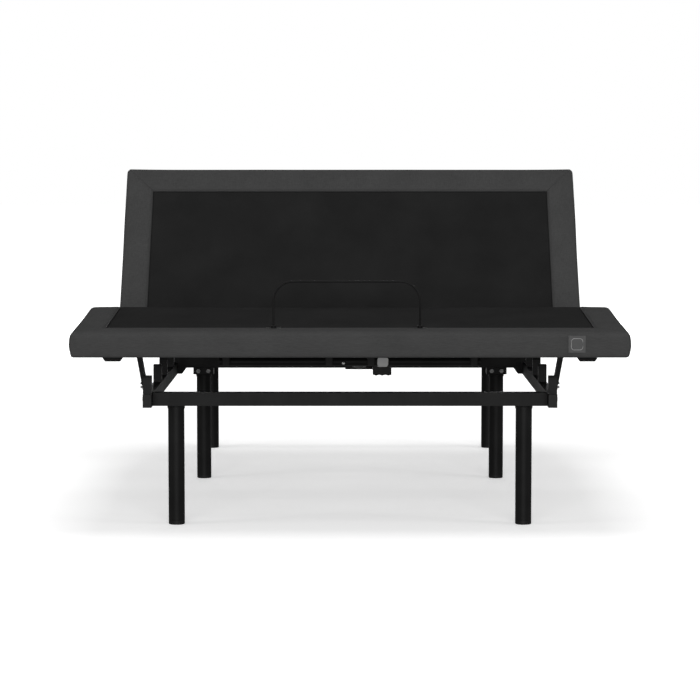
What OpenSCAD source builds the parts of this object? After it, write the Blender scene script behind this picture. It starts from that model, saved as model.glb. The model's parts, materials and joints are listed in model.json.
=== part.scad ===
// Adjustable bed base on six legs: a steel chassis with one fixed seat section and
// three hinged sections (head, thigh and foot), drawn in its raised lounging position.
// Millimetres. +Z is up, +Y runs from the foot end to the head end, X = 0 is the middle
// of the width, Z = 0 is the floor.

/* [Deck] */
// Width over the upholstered edge
deck_w = 1524; // [1400:2:1600]
// Thickness of every deck section, underside to top
deck_t = 70; // [68:1:76]
// Height of the underside of the deck when it lies flat
deck_z = 422; // [420:1:430]
// Length of the foot section
foot_l = 542; // [520:1:560]
// Distance between the knee and thigh hinges
thigh_pitch = 432; // [420:1:450]
// Distance between the thigh and head hinges
seat_pitch = 444; // [430:1:460]
// Length of the head section
head_l = 612; // [580:1:640]
// Width of the padded border seen from above
border_w = 92; // [70:1:110]
// Thickness of the padded border at its outer edge
edge_w = 30; // [24:1:40]
// Radius of the upper outer edge of the border
edge_r = 16; // [8:1:20]

/* [Pose] */
// Angle of the head section above level
head_angle = 53.5; // [45:0.5:60]
// Angle of the thigh section above level
thigh_angle = 13; // [10:0.5:16]
// Angle of the foot section, rising towards the knee
foot_angle = 4.1; // [3:0.1:5]

/* [Chassis] */
// Distance from X = 0 to the outer face of a side rail
rail_x = 574; // [574:1:576]
// Width of the side rails and of the tubes under the sections
tube_w = 24; // [20:1:26]
// Height of the side rails and the end cross rails
rail_h = 37; // [34:1:40]
// Height of the rails' underside
rail_z = 334; // [330:1:336]
// Wall of every steel tube
wall = 2; // [1.5:0.1:3]
// Front end of the side rails
rail_front_y = -871; // [-880:1:-860]
// Rear end of the side rails
rail_rear_y = 999; // [998:0.5:1010]
// Outer diameter of the legs
leg_d = 45.5; // [40:0.5:50]
// Height of the plastic glide under each leg
glide_h = 10; // [6:1:16]

/* [Foot links] */
// Height of the lower pivot of the link arms
link_z = 380; // [378:1:382]
// Place of that pivot along the rail
link_y = -696; // [-700:1:-690]
// Distance from the knee hinge to the upper pin of the link arms
link_reach = 464; // [455:1:468]

/* [Actuators] */
// Diameter of the actuators' guide tubes
guide_d = 38; // [34:1:42]
// Diameter of the actuators' push rods
rod_d = 20; // [16:1:22]
// X of the thigh actuator
thigh_act_x = 28; // [20:1:34]
// X of the head actuator
head_act_x = -120; // [-140:1:-100]

/* [Hidden] */
$fn = 48;

fabric = [0.25, 0.25, 0.26];
tricot = [0.10, 0.10, 0.11];
steel = [0.11, 0.11, 0.12];
plywood = [0.62, 0.48, 0.32];
plastic = [0.07, 0.07, 0.08];
zinc = [0.72, 0.72, 0.74];
silver = [0.60, 0.61, 0.63];

gap = 0.2;            // free space between pieces that are welded or glued together
knee_half_gap = 4;    // from the knee hinge line to the end of a section
half_gap = 10;        // the same at the thigh and head hinges
hinge_h = 56;         // height of the thigh and head hinges above a section's underside
knee_h = 6;           // height of the knee hinge above a section's underside
board_h = 40;         // underside of the deck boards
pad_h = 55;           // underside of the pads
pad_drop = 1;         // how far the middle pads lie below the border
hinge_z = deck_z + hinge_h;
thigh_hinge_y = -17;
head_hinge_y = thigh_hinge_y + seat_pitch;
knee_arm = hinge_h - knee_h;
knee_y = thigh_hinge_y - thigh_pitch * cos(thigh_angle) - knee_arm * sin(thigh_angle);
knee_z = hinge_z + thigh_pitch * sin(thigh_angle) - knee_arm * cos(thigh_angle);
foot_end = knee_half_gap + foot_l;
head_end = half_gap + head_l;
thigh_end = thigh_pitch - knee_half_gap;
seat_end = seat_pitch - half_gap;
tube_x = rail_x - tube_w / 2;
rail_top = rail_z + rail_h;
tube_h = 39.8;        // height of the tubes under the sections

front_leg_y = -806;
middle_leg_y = 170.5;
rear_leg_y = 974.5;
end_leg_x = 486;
middle_leg_x = 467;
middle_rail_z = 354.5;
cross_w = 36;         // depth of the cross rails along Y

bracket_x = 360;      // middle of each pair of headboard holes
bracket_pitch = 120;
bracket_hole_r = 4.5;
rest_y = [-853, -488, -266, 610, 955];  // posts that the lowered sections rest on
rest_w = 25;
pad_t = 6;            // thickness of the pads on those posts

bar_w = 408;          // retainer bar
bar_x = -9;           // it stands a little off the middle
bar_h = 131;
bar_d = 6;
bar_bend = 58;
bar_y = 463;          // from the knee hinge

pin_r = 4;            // hinge pins
run = 0.05;           // radial play of a running fit
plate_t = 6;          // thickness of the hinge plates
knuckle_r = 8;
plate_in_x = tube_x - tube_w / 2 - gap - plate_t;
plate_out_x = tube_x + tube_w / 2 + gap;

link_x = 576.4;       // inner face of the link arms
link_t = 12;
link_w = 24;
link_pin_r = 5;
link_pin_z = 16;      // height of the upper pin above the foot section's underside
slot_half = 14.5;     // half the height of the slot that the upper pin slides in
link_tip_y = knee_y - link_reach * cos(foot_angle) - (link_pin_z - knee_h) * sin(foot_angle);
link_tip_z = knee_z - link_reach * sin(foot_angle) + (link_pin_z - knee_h) * cos(foot_angle);
link_len = norm([link_tip_y - link_y, link_tip_z - link_z]);
link_angle = atan2(link_tip_z - link_z, link_y - link_tip_y);

act_base_z = 379;     // height of both actuators' base pins
thigh_base_y = 121.5;
head_base_y = 216.5;
head_lever = [20, -90];      // lift pin from the head hinge, with the section flat
thigh_lever = [-100, -110];  // lift pin from the thigh hinge, with the section flat
head_pin = [
    head_hinge_y + head_lever[0] * cos(head_angle) - head_lever[1] * sin(head_angle),
    hinge_z + head_lever[0] * sin(head_angle) + head_lever[1] * cos(head_angle)
];
thigh_pin = [
    thigh_hinge_y + thigh_lever[0] * cos(thigh_angle) + thigh_lever[1] * sin(thigh_angle),
    hinge_z - thigh_lever[0] * sin(thigh_angle) + thigh_lever[1] * cos(thigh_angle)
];
head_act_len = norm([head_pin[0] - head_base_y, head_pin[1] - act_base_z]);
thigh_act_len = norm([thigh_pin[0] - thigh_base_y, thigh_pin[1] - act_base_z]);
head_act_angle = atan2(head_pin[1] - act_base_z, head_pin[0] - head_base_y);
thigh_act_angle = atan2(thigh_pin[1] - act_base_z, thigh_base_y - thigh_pin[0]);
lift_arm_x = [-378, -64, 64, 378];  // middles of the drop arms
guide_end = 200;      // far end of the guide tubes from the base pin
box_len = 78;         // length of the gearbox from the base pin
eye_r = 18;
lift_pin_r = 5;
eye_play = 6;         // free space round the lift pin in the push rod's eye

// ---------- general shapes ----------

// box from its lowest corner to its highest
module block(a, b) {
    translate(a) cube([b[0] - a[0], b[1] - a[1], b[2] - a[2]]);
}

// both halves of something drawn on the +X side
module both_sides() {
    children();
    mirror([1, 0, 0]) children();
}

// square tube, hollow along its longest axis
module tube_x_axis(a, b) {
    difference() {
        block(a, b);
        block([a[0] - 1, a[1] + wall, a[2] + wall], [b[0] + 1, b[1] - wall, b[2] - wall]);
    }
}

module tube_y_axis(a, b) {
    difference() {
        block(a, b);
        block([a[0] + wall, a[1] - 1, a[2] + wall], [b[0] - wall, b[1] + 1, b[2] - wall]);
    }
}

// cylinder along X from x0 to x1
module x_rod(x0, x1, r) {
    translate([x0, 0, 0]) rotate([0, 90, 0]) cylinder(r = r, h = x1 - x0);
}

// cylinder along Y from y0 to y1
module y_rod(y0, y1, r) {
    translate([0, y0, 0]) rotate([-90, 0, 0]) cylinder(r = r, h = y1 - y0);
}

// ---------- placing the sections ----------
// A section is drawn with Y = 0 on its hinge line, growing away from the seat,
// and Z = 0 on its underside.

module at_seat() {
    translate([0, thigh_hinge_y, deck_z]) children();
}

module at_head() {
    translate([0, head_hinge_y, hinge_z]) rotate([head_angle, 0, 0])
        translate([0, 0, -hinge_h]) children();
}

module at_thigh() {
    translate([0, thigh_hinge_y, hinge_z]) rotate([-thigh_angle, 0, 0])
        mirror([0, 1, 0]) translate([0, 0, -hinge_h]) children();
}

module at_foot() {
    translate([0, knee_y, knee_z]) rotate([foot_angle, 0, 0])
        mirror([0, 1, 0]) translate([0, 0, -knee_h]) children();
}

// ---------- section pieces ----------

function arc(cx, cy, r, a0, a1, n = 6) =
    [for (i = [0:n]) [cx + r * cos(a0 + (a1 - a0) * i / n), cy + r * sin(a0 + (a1 - a0) * i / n)]];

// cross section of the padded border: the outer edge is at 0, the pad grows to -border_w
module border_section() {
    low_r = 10;
    polygon(concat(
        arc(-edge_r, deck_t - edge_r, edge_r, 90, 0),
        arc(-low_r, low_r, low_r, 0, -90),
        [[-edge_w, 0], [-edge_w, pad_h], [-border_w, pad_h], [-border_w, deck_t]]
    ));
}

// one long side of the border, from y0 to y1, mitred at the far end if asked
module side_strip(y0, y1, mitred) {
    half = deck_w / 2;
    inner = half - border_w;
    far = mitred ? y1 - border_w : y1;
    intersection() {
        translate([half, y1, 0]) rotate([90, 0, 0])
            linear_extrude(height = y1 - y0) border_section();
        translate([0, 0, -1]) linear_extrude(height = deck_t + 2)
            polygon([[inner - 1, y0 - 1], [half + 1, y0 - 1], [half + 1, y1 + 1 - gap],
                     [half, y1 - gap], [inner, far - gap], [inner - 1, far - gap]]);
    }
}

// the border across the far end, mitred at both corners
module end_strip(y1) {
    half = deck_w / 2;
    inner = half - border_w;
    intersection() {
        translate([-half, y1, 0]) rotate([90, 0, 90])
            linear_extrude(height = deck_w) border_section();
        translate([0, 0, -1]) linear_extrude(height = deck_t + 2)
            polygon([[-half - 1, y1 + 1], [-inner, y1 - border_w], [inner, y1 - border_w],
                     [half + 1, y1 + 1]]);
    }
}

module border(y0, y1, ended) {
    both_sides() side_strip(y0, y1, ended);
    if (ended) end_strip(y1);
}

module board(y0, y1, ended) {
    half = deck_w / 2 - edge_w - gap;
    far = ended ? y1 - edge_w - gap : y1;
    block([-half, y0, board_h], [half, far, pad_h - gap]);
}

module insert(y0, y1, ended) {
    half = deck_w / 2 - border_w - gap;
    far = ended ? y1 - border_w - gap : y1;
    block([-half, y0, pad_h], [half, far, deck_t - pad_drop]);
}

// two long tubes with two cross tubes between them
module section_frame(y0, y1, cross_y) {
    inner = tube_x - tube_w / 2 - gap;
    both_sides() tube_y_axis([tube_x - tube_w / 2, y0, 0], [tube_x + tube_w / 2, y1, tube_h]);
    for (y = cross_y) tube_x_axis([-inner, y - 12, 15], [inner, y + 12, tube_h]);
}

// hinge plate beside a tube: knuckle on the hinge line at height h, arm towards +Y.
// play is the extra radius of the bore.
module hinge_plate(x, h, play) {
    arm_l = 27;
    translate([x, 0, 0]) difference() {
        union() {
            translate([0, 0, h]) x_rod(0, plate_t, knuckle_r);
            block([0, -knuckle_r, min(h, 8)], [plate_t, knuckle_r, max(h, 36)]);
            block([0, 0, 8], [plate_t, arm_l, 36]);
        }
        translate([0, 0, h]) x_rod(-1, plate_t + 1, pin_r + play);
    }
}

// pivot bolt with a head at its inner end
module hinge_pin() {
    x_rod(plate_in_x - 8, plate_out_x + plate_t + 3, pin_r);
    x_rod(plate_in_x - 8, plate_in_x - gap, pin_r + 3);
}

// ---------- chassis ----------

module side_rail() {
    ear_h = 18;
    ear_l = 36;
    tube_y_axis([rail_x - tube_w, rail_front_y, rail_z], [rail_x, rail_rear_y - 3, rail_top]);
    translate([rail_x - 8, link_y, link_z]) difference() {
        block([0, -ear_l / 2, rail_top + gap - link_z], [8, ear_l / 2, ear_h]);
        x_rod(-1, 9, link_pin_r);
    }
}

module left_side_rail() {
    color(steel) mirror([1, 0, 0]) side_rail();
}

module right_side_rail() {
    color(steel) side_rail();
}

module cross_rail(y, z0) {
    inner = rail_x - tube_w - gap;
    tube_x_axis([-inner, y - cross_w / 2, z0], [inner, y + cross_w / 2, z0 + rail_h]);
}

module front_cross_rail() {
    color(steel) cross_rail(front_leg_y, rail_z);
}

// the middle rail sits higher and carries drop brackets for the middle legs
module middle_cross_rail() {
    color(steel) {
        cross_rail(middle_leg_y, middle_rail_z);
        both_sides() {
            block([middle_leg_x - 32, middle_leg_y - 26, rail_z],
                  [middle_leg_x + 32, middle_leg_y + 26, middle_rail_z - gap]);
            translate([0, middle_leg_y + 3, 0]) rotate([90, 0, 0]) linear_extrude(height = 6)
                polygon([[rail_x - tube_w - gap, rail_z], [536, rail_z],
                         [521, middle_rail_z - gap], [rail_x - tube_w - gap, middle_rail_z - gap]]);
        }
    }
}

// the rear rail is drilled for a headboard bracket on each side
module rear_cross_rail() {
    color(steel) difference() {
        cross_rail(rear_leg_y, rail_z);
        both_sides() for (x = [bracket_x - bracket_pitch / 2, bracket_x + bracket_pitch / 2])
            translate([x, rear_leg_y, rail_z + rail_h / 2]) y_rod(-cross_w, cross_w, bracket_hole_r);
    }
}

// plastic plugs in the ends of the side rails
module rail_end_caps() {
    inset = wall + gap;
    color(plastic) both_sides() {
        block([rail_x - tube_w, rail_front_y - 4, rail_z], [rail_x, rail_front_y - gap, rail_top]);
        block([rail_x - tube_w + inset, rail_front_y - 1, rail_z + inset],
              [rail_x - inset, rail_front_y + 16, rail_top - inset]);
        block([rail_x - tube_w, rail_rear_y - 3 + gap, rail_z], [rail_x, rail_rear_y, rail_top]);
        block([rail_x - tube_w + inset, rail_rear_y - 20, rail_z + inset],
              [rail_x - inset, rail_rear_y - 1, rail_top - inset]);
    }
}

// leg tube with a closed top and a collar where it meets the rail
module leg(x, y) {
    color(steel) translate([x, y, 0]) {
        difference() {
            translate([0, 0, glide_h]) cylinder(d = leg_d, h = rail_z - gap - glide_h);
            translate([0, 0, glide_h - 1])
                cylinder(d = leg_d - 2 * wall, h = rail_z - gap - glide_h - 4);
        }
        translate([0, 0, rail_z - 8]) cylinder(d = leg_d + 3, h = 8 - gap);
    }
}

module front_left_leg() {
    leg(-end_leg_x, front_leg_y);
}

module front_right_leg() {
    leg(end_leg_x, front_leg_y);
}

module middle_left_leg() {
    leg(-middle_leg_x, middle_leg_y);
}

module middle_right_leg() {
    leg(middle_leg_x, middle_leg_y);
}

module rear_left_leg() {
    leg(-end_leg_x, rear_leg_y);
}

module rear_right_leg() {
    leg(end_leg_x, rear_leg_y);
}

module leg_glides() {
    spots = [[end_leg_x, front_leg_y], [middle_leg_x, middle_leg_y], [end_leg_x, rear_leg_y]];
    color(plastic) both_sides() for (p = spots) translate([p[0], p[1], 0]) {
        cylinder(d1 = leg_d - 3, d2 = leg_d, h = 2);
        translate([0, 0, 2]) cylinder(d = leg_d, h = glide_h - 2 - gap);
        translate([0, 0, glide_h - 1]) cylinder(d = leg_d - 2 * wall - 0.6, h = 16);
    }
}

// posts on the side rails that the lowered sections come to rest on
module deck_rests() {
    color(steel) both_sides() for (y = rest_y)
        block([rail_x - tube_w, y - rest_w / 2, rail_top + gap],
              [rail_x, y + rest_w / 2, deck_z - 0.5 - pad_t - gap]);
}

module rest_pads() {
    color(plastic) both_sides() for (y = rest_y)
        block([rail_x - tube_w, y - rest_w / 2, deck_z - 0.5 - pad_t],
              [rail_x, y + rest_w / 2, deck_z - 0.5]);
}

// posts that carry the fixed seat section
module seat_posts() {
    color(steel) both_sides() for (y = [10, middle_leg_y, 395])
        block([rail_x - tube_w, y - 14, rail_top + gap], [rail_x, y + 14, deck_z - gap]);
}

// hexagon bolt head lying against a face, its axis along +Y
module bolt_head() {
    rotate([90, 0, 0]) cylinder(r = 7, h = 5, $fn = 6);
}

module frame_bolts() {
    color(zinc) both_sides() {
        for (x = [middle_leg_x - 16, middle_leg_x + 16])
            translate([x, middle_leg_y - 26 - gap, rail_z + 11]) bolt_head();
        for (y = [front_leg_y - 9, front_leg_y + 9, rear_leg_y - 9, rear_leg_y + 9])
            translate([rail_x + gap, y, rail_z + rail_h / 2]) rotate([0, 0, 90]) bolt_head();
    }
}

// a pair of ears with the actuator's base pin; dir is the side of the rail they stand on
module base_bracket(x, base_y, dir) {
    near = middle_leg_y + dir * (cross_w / 2 + gap);
    far = base_y + dir * 9;
    for (side = [-1, 1]) translate([x + side * 24, 0, 0])
        block([-3, min(near, far), act_base_z - 14], [3, max(near, far), act_base_z + 12]);
    translate([x, base_y, act_base_z]) x_rod(-31, 31, lift_pin_r);
}

module actuator_brackets() {
    color(steel) {
        base_bracket(thigh_act_x, thigh_base_y, -1);
        base_bracket(head_act_x, head_base_y, 1);
    }
}

module control_box() {
    color(plastic) block([130, 190, deck_z + board_h - 36], [330, 310, deck_z + board_h - gap]);
}

// low-voltage inlet socket on the end of the control box
module power_inlet() {
    color(zinc) translate([330 + gap, 250, deck_z + board_h - 18]) difference() {
        x_rod(0, 10, 7);
        x_rod(3, 11, 4.5);
    }
}

// ---------- seat ----------

module seat_frame() {
    color(steel) at_seat() section_frame(half_gap + 2, seat_end - 2, [40, seat_pitch - 90]);
}

module seat_board() {
    color(plywood) at_seat() board(half_gap, seat_end, false);
}

module seat_border() {
    color(fabric) at_seat() border(half_gap, seat_end, false);
}

module seat_insert() {
    color(tricot) at_seat() insert(half_gap, seat_end, false);
}

module seat_hinge_plates() {
    color(steel) at_seat() both_sides() {
        hinge_plate(plate_in_x, hinge_h, 0);
        translate([0, seat_pitch, 0]) mirror([0, 1, 0]) hinge_plate(plate_in_x, hinge_h, 0);
    }
}

module seat_hinge_pins() {
    color(zinc) both_sides() for (y = [thigh_hinge_y, head_hinge_y])
        translate([0, y, hinge_z]) hinge_pin();
}

// ---------- head section ----------

module head_frame() {
    color(steel) at_head() section_frame(half_gap + 2, head_end - 60, [150, head_end - 100]);
}

module head_board() {
    color(plywood) at_head() board(half_gap, head_end, true);
}

module head_border() {
    color(fabric) at_head() border(half_gap, head_end, true);
}

module head_insert() {
    color(tricot) at_head() insert(half_gap, head_end, true);
}

module head_hinge_plates() {
    color(steel) at_head() both_sides() hinge_plate(plate_out_x, hinge_h, run);
}

// drop arms under a section, joined by a push tube, with the lift pin between two ears.
// pin is the lift pin's place in the section's own frame.
module lift_arms(pin, act_x, arm_x) {
    arm_t = 24;
    tube_r = 12.5;
    back = 38;
    difference() {
        for (x = arm_x) translate([x - arm_t / 2, pin[0] + back, 0]) rotate([90, 0, 90])
            linear_extrude(height = arm_t)
                polygon([[-12, pin[1] - 8], [12, pin[1] - 8],
                         [60, board_h - gap], [-40, board_h - gap]]);
        translate([0, pin[0] + back, pin[1]]) x_rod(-deck_w / 2, deck_w / 2, tube_r + gap);
    }
    translate([0, pin[0] + back, pin[1]]) x_rod(arm_x[0] - 20, arm_x[3] + 20, tube_r);
    for (side = [-1, 1]) translate([act_x + side * 18, pin[0], pin[1]]) difference() {
        union() {
            block([-3, 0, -12], [3, back, 12]);
            x_rod(-3, 3, 12);
        }
    }
    translate([act_x, pin[0], pin[1]]) x_rod(-24, 24, lift_pin_r);
}

module head_lift_arms() {
    color(steel) at_head() lift_arms([head_lever[0], hinge_h + head_lever[1]], head_act_x,
                                     lift_arm_x);
}

// ---------- thigh section ----------

module thigh_frame() {
    color(steel) at_thigh() section_frame(half_gap + 2, thigh_end - 4, [40, thigh_end - 40]);
}

module thigh_board() {
    color(plywood) at_thigh() board(half_gap, thigh_end, false);
}

module thigh_border() {
    color(fabric) at_thigh() border(half_gap, thigh_end, false);
}

module thigh_insert() {
    color(tricot) at_thigh() insert(half_gap, thigh_end, false);
}

module thigh_hinge_plates() {
    color(steel) at_thigh() both_sides() {
        hinge_plate(plate_out_x, hinge_h, run);
        translate([0, thigh_pitch, 0]) mirror([0, 1, 0]) hinge_plate(plate_in_x, knee_h, 0);
    }
}

module knee_hinge_pins() {
    color(zinc) translate([0, knee_y, knee_z]) both_sides() hinge_pin();
}

module thigh_lift_arms() {
    color(steel) at_thigh() lift_arms([-thigh_lever[0], hinge_h + thigh_lever[1]], thigh_act_x,
                                      lift_arm_x);
}

// ---------- foot section ----------

module foot_frame() {
    color(steel) at_foot() section_frame(knee_half_gap + 4, foot_end - edge_w - 4,
                                         [60, foot_end - 150]);
}

module foot_board() {
    color(plywood) at_foot() board(knee_half_gap, foot_end, true);
}

module foot_border() {
    color(fabric) at_foot() border(knee_half_gap, foot_end, true);
}

module foot_insert() {
    color(tricot) at_foot() insert(knee_half_gap, foot_end, true);
}

module foot_hinge_plates() {
    color(steel) at_foot() both_sides() hinge_plate(plate_out_x, knee_h, run);
}

// slotted plates that the link arms' upper pins slide in
module link_brackets() {
    x0 = link_x + link_t + 1;
    slot_front = 42;
    slot_back = 36;
    slot_ends = [link_reach - slot_back + slot_half, link_reach + slot_front - slot_half - 6];
    color(steel) at_foot() both_sides() {
        difference() {
            block([x0, link_reach - slot_back - 14, -2], [x0 + 4, link_reach + slot_front, 39.8]);
            for (y = slot_ends) translate([x0, y, link_pin_z]) x_rod(-1, 5, slot_half);
            block([x0 - 1, slot_ends[0], link_pin_z - slot_half],
                  [x0 + 5, slot_ends[1], link_pin_z + slot_half]);
        }
        block([x0 + 4, link_reach - slot_back - 14, 36], [x0 + 28, link_reach + slot_front, 39.8]);
    }
}

// tapered rubber blocks under the corners of the foot section
module deck_bumpers() {
    color(plastic) at_foot() both_sides()
        translate([0, foot_end - 40, 0]) rotate([90, 0, 0]) linear_extrude(height = 40)
            polygon([[621, board_h - gap], [621, -6], [628, -15], [669, -15], [676, -6],
                     [676, board_h - gap]]);
}

// round rod hoop that keeps the mattress from sliding off the foot end
module retainer_bar() {
    half = bar_w / 2 - bar_d / 2;
    bend = bar_bend - bar_d / 2;
    top = bar_h - bar_d / 2;
    color(steel) at_foot() translate([bar_x, bar_y, deck_t + 2.2]) {
        translate([0, 0, top]) x_rod(-half + bend, half - bend, bar_d / 2);
        both_sides() {
            cylinder_post(half, top - bend);
            translate([half - bend, 0, top - bend]) rotate([90, 0, 0])
                rotate_extrude(angle = 90) translate([bend, 0]) circle(d = bar_d);
        }
    }
}

module cylinder_post(x, h) {
    translate([x, 0, 0]) cylinder(d = bar_d, h = h);
}

// foot plates and round nuts of the retainer bar
module retainer_plates() {
    half = bar_w / 2 - bar_d / 2;
    color(steel) at_foot() for (side = [-1, 1]) translate([bar_x + side * half, bar_y, deck_t]) {
        block([-20, -11, 0.1], [20, 11, 2]);
        translate([0, 0, 2]) difference() {
            cylinder(d = 14, h = 7);
            translate([0, 0, -1]) cylinder(d = bar_d + 0.2, h = 9);
        }
    }
}

// blank square badge on the foot end
module blank_badge() {
    badge = 46;
    color(plastic) at_foot() translate([616, foot_end + 0.1, 39])
        block([-badge / 2, 0, -badge / 2], [badge / 2, 1.4, badge / 2]);
}

// ---------- foot links ----------

// flat arm from the rail pivot to the slotted bracket, with its upper pin
module link_arm() {
    translate([link_x, link_y, link_z]) rotate([-link_angle, 0, 0]) {
        difference() {
            union() {
                block([0, -link_len, -link_w / 2], [link_t, 0, link_w / 2]);
                x_rod(0, link_t, 14);
                translate([0, -link_len, 0]) x_rod(0, link_t, link_w / 2);
            }
            x_rod(-1, link_t + 1, link_pin_r + run);
        }
        translate([0, -link_len, 0]) x_rod(link_t - 1, link_t + 9, link_pin_r - 1);
    }
}

module left_link_arm() {
    color(steel) mirror([1, 0, 0]) link_arm();
}

module right_link_arm() {
    color(steel) link_arm();
}

module link_pivot_bolts() {
    color(zinc) both_sides() translate([0, link_y, link_z]) {
        x_rod(rail_x - 8, link_x + link_t + 1, link_pin_r);
        x_rod(link_x + link_t + 0.4, link_x + link_t + 6, 9);
    }
}

// ---------- actuators ----------
// Drawn along +Y from the base pin at the origin.

module at_head_act() {
    translate([head_act_x, head_base_y, act_base_z]) rotate([head_act_angle, 0, 0]) children();
}

module at_thigh_act() {
    translate([thigh_act_x, thigh_base_y, act_base_z]) rotate([-thigh_act_angle, 0, 0])
        mirror([0, 1, 0]) children();
}

// gear housing with the base eye and the step that the motor bolts to
module gearbox() {
    color(plastic) difference() {
        union() {
            x_rod(-20, 20, 12);
            block([-20, 0, -12], [20, 22, 12]);
            block([-43, 20, -24], [43, box_len, 26]);
            y_rod(box_len - 1, box_len + 14, guide_d / 2 + 4);
        }
        x_rod(-21, 21, lift_pin_r + run);
        y_rod(box_len - 30, box_len + 15, rod_d / 2 + 3);
    }
}

// motor can with its ribbed lower shell
module motor() {
    motor_x = 72;
    color(plastic) translate([motor_x, 0, -10]) {
        y_rod(24, 190, 27);
        for (i = [0:5]) translate([0, 40 + i * 26, 0]) y_rod(0, 10, 28.5);
    }
}

module guide_tube() {
    color(silver) difference() {
        y_rod(box_len + 14 + gap, guide_end, guide_d / 2);
        y_rod(box_len, guide_end + 1, rod_d / 2 + run);
    }
}

// push rod from inside the guide tube to its eye at length len
module push_rod(len) {
    rod_back = 100;
    color(silver) difference() {
        union() {
            y_rod(len - rod_back - 30, len - eye_r + 4, rod_d / 2);
            translate([0, len, 0]) x_rod(-12, 12, eye_r);
        }
        translate([0, len, 0]) x_rod(-13, 13, lift_pin_r + eye_play);
    }
}

module head_gearbox() {
    at_head_act() gearbox();
}

module head_motor() {
    at_head_act() motor();
}

module head_guide_tube() {
    at_head_act() guide_tube();
}

module head_push_rod() {
    at_head_act() push_rod(head_act_len);
}

module thigh_gearbox() {
    at_thigh_act() gearbox();
}

module thigh_motor() {
    at_thigh_act() motor();
}

module thigh_guide_tube() {
    at_thigh_act() guide_tube();
}

module thigh_push_rod() {
    at_thigh_act() push_rod(thigh_act_len);
}

left_side_rail();
right_side_rail();
front_cross_rail();
middle_cross_rail();
rear_cross_rail();
rail_end_caps();
front_left_leg();
front_right_leg();
middle_left_leg();
middle_right_leg();
rear_left_leg();
rear_right_leg();
leg_glides();
deck_rests();
rest_pads();
seat_posts();
frame_bolts();
actuator_brackets();
control_box();
power_inlet();
seat_frame();
seat_board();
seat_border();
seat_insert();
seat_hinge_plates();
seat_hinge_pins();
head_frame();
head_board();
head_border();
head_insert();
head_hinge_plates();
head_lift_arms();
thigh_frame();
thigh_board();
thigh_border();
thigh_insert();
thigh_hinge_plates();
knee_hinge_pins();
thigh_lift_arms();
foot_frame();
foot_board();
foot_border();
foot_insert();
foot_hinge_plates();
link_brackets();
deck_bumpers();
retainer_bar();
retainer_plates();
blank_badge();
left_link_arm();
right_link_arm();
link_pivot_bolts();
head_gearbox();
head_motor();
head_guide_tube();
head_push_rod();
thigh_gearbox();
thigh_motor();
thigh_guide_tube();
thigh_push_rod();
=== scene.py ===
import json
import math

import bmesh
import bpy
from mathutils import Matrix, Vector, noise


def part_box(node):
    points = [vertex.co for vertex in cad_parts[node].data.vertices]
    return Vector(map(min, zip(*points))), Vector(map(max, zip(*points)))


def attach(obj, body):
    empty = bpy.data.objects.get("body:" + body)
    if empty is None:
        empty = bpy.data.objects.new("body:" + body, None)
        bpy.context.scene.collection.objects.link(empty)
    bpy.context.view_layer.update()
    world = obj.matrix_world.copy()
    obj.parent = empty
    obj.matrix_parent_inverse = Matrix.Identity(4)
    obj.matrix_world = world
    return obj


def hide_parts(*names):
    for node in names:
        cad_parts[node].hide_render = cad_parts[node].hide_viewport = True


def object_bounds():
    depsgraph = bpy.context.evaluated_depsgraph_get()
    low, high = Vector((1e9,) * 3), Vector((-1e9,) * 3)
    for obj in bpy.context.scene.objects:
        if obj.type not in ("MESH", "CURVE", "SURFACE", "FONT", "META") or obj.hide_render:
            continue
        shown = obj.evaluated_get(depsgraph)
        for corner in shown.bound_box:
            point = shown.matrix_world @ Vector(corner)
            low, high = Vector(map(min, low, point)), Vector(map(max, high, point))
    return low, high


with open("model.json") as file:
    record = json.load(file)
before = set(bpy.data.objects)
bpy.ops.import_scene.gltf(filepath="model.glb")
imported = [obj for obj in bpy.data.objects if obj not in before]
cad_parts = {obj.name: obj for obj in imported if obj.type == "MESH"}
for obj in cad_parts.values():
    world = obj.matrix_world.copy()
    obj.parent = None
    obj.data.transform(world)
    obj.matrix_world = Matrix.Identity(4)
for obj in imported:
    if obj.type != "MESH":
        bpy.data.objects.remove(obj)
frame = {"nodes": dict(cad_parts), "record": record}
cad_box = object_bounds()

MM = 0.001

# ---------------------------------------------------------------------------
# camera, light and floor
# ---------------------------------------------------------------------------

EYE_TO_FOOT_END = 6.595      # metres from the foot end to the eye
EYE_HEIGHT = 1.040
TILT_DOWN = 4.639            # degrees
LENS = 125.5                 # millimetres
SENSOR_WIDTH = 36            # millimetres
FAR_CLIP = 200

# name, place, point it aims at, width and height, watts
LIGHTS = [
    ("top_softbox", (0, -0.3, 6.5), (0, -0.1, 0), (3.1, 3.1), 135),
    ("front_softbox", (0, -12.0, 2.0), (0, 0, 0.5), (9, 3.4), 1290),
    ("left_softbox", (-6, -2.5, 1.8), (0, 0, 0.5), (2, 2.5), 80),
    ("right_softbox", (6, -2.5, 1.8), (0, 0, 0.5), (2, 2.5), 80),
    ("rear_softbox", (0, 8, 1.6), (0, 0, 0.5), (6, 2.4), 230),
]
FILL_STRENGTH = 0.30         # the world's light on everything but the camera's own view

FLOOR_HALF = 40
FLOOR_ALBEDO = 0.9
FLOOR_GLOW = 0.39            # emission near the object
GLOW_STARTS, GLOW_IS_WHITE = 2.0, 7.0      # metres from the middle, between which it rises to 1


def make_camera():
    data = bpy.data.cameras.new("camera")
    data.lens = LENS
    data.sensor_width = SENSOR_WIDTH
    data.clip_end = FAR_CLIP
    camera = bpy.data.objects.new("camera", data)
    bpy.context.scene.collection.objects.link(camera)
    camera.location = (0, cad_box[0][1] - EYE_TO_FOOT_END, EYE_HEIGHT)
    camera.rotation_euler = (math.radians(90 - TILT_DOWN), 0, 0)
    bpy.context.scene.camera = camera


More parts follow.
